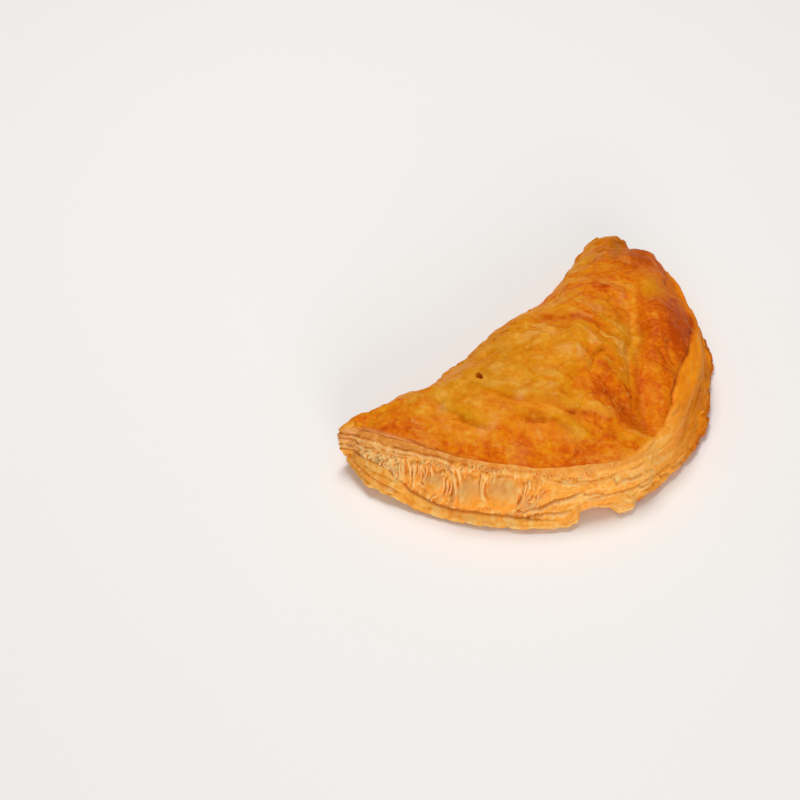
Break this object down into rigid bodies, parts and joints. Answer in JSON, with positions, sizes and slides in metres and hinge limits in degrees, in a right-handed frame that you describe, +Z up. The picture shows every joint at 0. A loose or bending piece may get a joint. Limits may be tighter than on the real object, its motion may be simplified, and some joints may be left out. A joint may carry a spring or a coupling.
{
  "type": "meat pie",
  "caption": "Half-moon folded puff-pastry meat pie with a domed, browned top, a puffed lobe, a sealed curved edge of flaky layers and a flat underside.",
  "frame": {"origin": "on the table, under the middle of the pie's bounding box", "axes": "+X along the fold, +Y from the sealed curved edge towards the fold, +Z up"},
  "size_m": [0.1478, 0.0912, 0.036],
  "materials": {
    "baked_pastry": "egg-washed and browned, semi-gloss on top, dry and flaky along the cut edge"
  },
  "bodies": {
    "root": {"meat_pie": "baked_pastry"}
  },
  "joints": []
}
